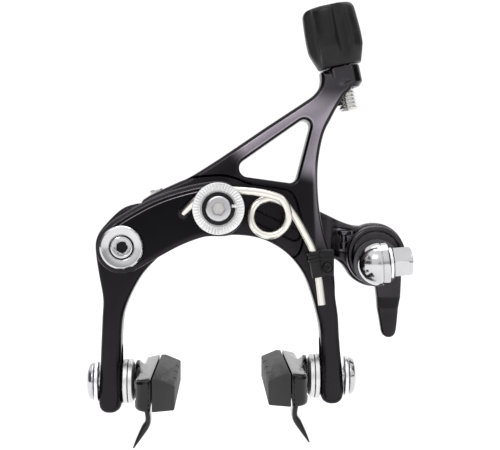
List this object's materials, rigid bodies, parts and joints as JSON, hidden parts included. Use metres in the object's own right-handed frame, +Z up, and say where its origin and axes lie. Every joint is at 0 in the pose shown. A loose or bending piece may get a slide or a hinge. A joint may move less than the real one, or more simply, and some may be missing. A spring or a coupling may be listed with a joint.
{
  "type": "rim brake caliper",
  "caption": "Dual-pivot rim brake caliper for a bicycle, with a return spring, barrel adjuster, quick-release lever, cable clamp and adjustable shoes.",
  "frame": {"origin": "on the mounting bolt's axis, in the face of the serrated washer that meets the bicycle frame", "axes": "+Z up towards the cable adjuster, +Y away from the bicycle frame along the mounting bolt, +X to the right as seen from the bicycle frame"},
  "size_m": [0.0862, 0.0594, 0.1146],
  "materials": {
    "black_anodised": "gloss black anodised aluminium",
    "chrome": "bright plated steel",
    "steel": "satin machined steel",
    "spring_wire": "warm silver drawn wire",
    "bronze": "sintered bushing bronze",
    "gloss_plastic": "gloss black",
    "matte_plastic": "matte black",
    "rubber": "dull black moulded rubber"
  },
  "bodies": {
    "bridge_group": {"mounting_bolt": "steel", "serrated_washer": "chrome", "split_ring": "matte_plastic", "bridge": "black_anodised", "offset_pivot_bolt": "chrome", "offset_cone_washer": "chrome", "offset_pivot_nut": "steel", "centre_thrust_washer": "steel", "offset_thrust_washer": "steel", "return_spring": "spring_wire"},
    "y_arm_group": {"y_arm": "black_anodised", "centre_bush": "bronze", "spring_guide": "matte_plastic", "guide_screw": "matte_plastic"},
    "c_arm_group": {"c_arm": "black_anodised", "offset_bush": "bronze", "stop_screw": "black_anodised", "lever_wave_washer": "steel"},
    "centring_group": {"centring_screw": "steel"},
    "lever_group": {"qr_lever": "black_anodised", "lever_shaft": "steel", "lever_nut": "steel"},
    "anchor_group": {"anchor_body": "chrome", "clamp_washer": "chrome", "anchor_bolt": "chrome"},
    "barrel_seat": {"housing_seat": "steel"},
    "barrel_screw": {"adjuster_knob": "matte_plastic", "adjuster_stem": "steel"},
    "left_carrier": {"left_pad_bolt": "chrome", "left_bolt_washer": "chrome", "left_convex_washer": "steel"},
    "left_toe_group": {"left_concave_washer": "steel"},
    "left_pad_group": {"left_shoe": "gloss_plastic", "left_insert": "rubber", "left_insert_screw": "steel"},
    "right_carrier": {"right_pad_bolt": "chrome", "right_bolt_washer": "chrome", "right_convex_washer": "steel"},
    "right_toe_group": {"right_concave_washer": "steel"},
    "right_pad_group": {"right_shoe": "gloss_plastic", "right_insert": "rubber", "right_insert_screw": "steel"}
  },
  "joints": [
    {"name": "y_arm_pivot", "type": "hinge", "parent": "bridge_group", "child": "y_arm_group", "pos_m": [0, 0, 0], "axis": [0, 1, 0], "range_deg": [-2, 5], "stiffness_Nm_per_rad": 4, "deforming": ["return_spring"]},
    {"name": "c_arm_pivot", "type": "hinge", "parent": "bridge_group", "child": "c_arm_group", "pos_m": [-0.025, 0, -0.01], "axis": [0, 1, 0], "range_deg": [-6.6, 2.7]},
    {"name": "lever_pivot", "type": "hinge", "parent": "c_arm_group", "child": "lever_group", "pos_m": [0.0426, 0, -0.0126], "axis": [0, 1, 0], "range_deg": [-120, 0]},
    {"name": "anchor_swivel", "type": "hinge", "parent": "lever_group", "child": "anchor_group", "pos_m": [0.0426, 0, -0.0146], "axis": [0, 1, 0], "range_deg": [0, 120]},
    {"name": "barrel_travel", "type": "slide", "parent": "y_arm_group", "child": "barrel_seat", "axis": [-0.2079, 0, 0.9781], "range_m": [0, 0.00399]},
    {"name": "barrel_turn", "type": "hinge", "parent": "barrel_seat", "child": "barrel_screw", "pos_m": [0.0326, 0.0128, 0.0376], "axis": [-0.2079, 0, 0.9781], "range_deg": [0, 1800]},
    {"name": "centring_turn", "type": "hinge", "parent": "c_arm_group", "child": "centring_group", "pos_m": [-0.0164, 0.02, 0.003], "axis": [-0.2496, 0, 0.9684], "range_deg": [-180, 180]},
    {"name": "left_pad_height", "type": "slide", "parent": "c_arm_group", "child": "left_carrier", "axis": [0, 0, 1], "range_m": [-0.0031, 0.007]},
    {"name": "left_pad_toe", "type": "hinge", "parent": "left_carrier", "child": "left_toe_group", "pos_m": [-0.0234, 0.01335, -0.0462], "axis": [0, 0, 1], "range_deg": [-2.5, 2.5]},
    {"name": "left_pad_tilt", "type": "hinge", "parent": "left_toe_group", "child": "left_pad_group", "pos_m": [-0.0234, 0.01335, -0.0462], "axis": [1, 0, 0], "range_deg": [-8, 8]},
    {"name": "right_pad_height", "type": "slide", "parent": "y_arm_group", "child": "right_carrier", "axis": [0, 0, 1], "range_m": [-0.0022, 0.0076]},
    {"name": "right_pad_toe", "type": "hinge", "parent": "right_carrier", "child": "right_toe_group", "pos_m": [0.025, 0.01335, -0.045], "axis": [0, 0, 1], "range_deg": [-2.5, 2.5]},
    {"name": "right_pad_tilt", "type": "hinge", "parent": "right_toe_group", "child": "right_pad_group", "pos_m": [0.025, 0.01335, -0.045], "axis": [1, 0, 0], "range_deg": [-8, 8]}
  ],
  "couplings": [
    {"joint": "c_arm_pivot", "follows": "y_arm_pivot", "ratio": -1.296},
    {"joint": "anchor_swivel", "follows": "lever_pivot", "ratio": -1},
    {"joint": "barrel_turn", "follows": "barrel_travel", "rad_per_m": 7854}
  ]
}
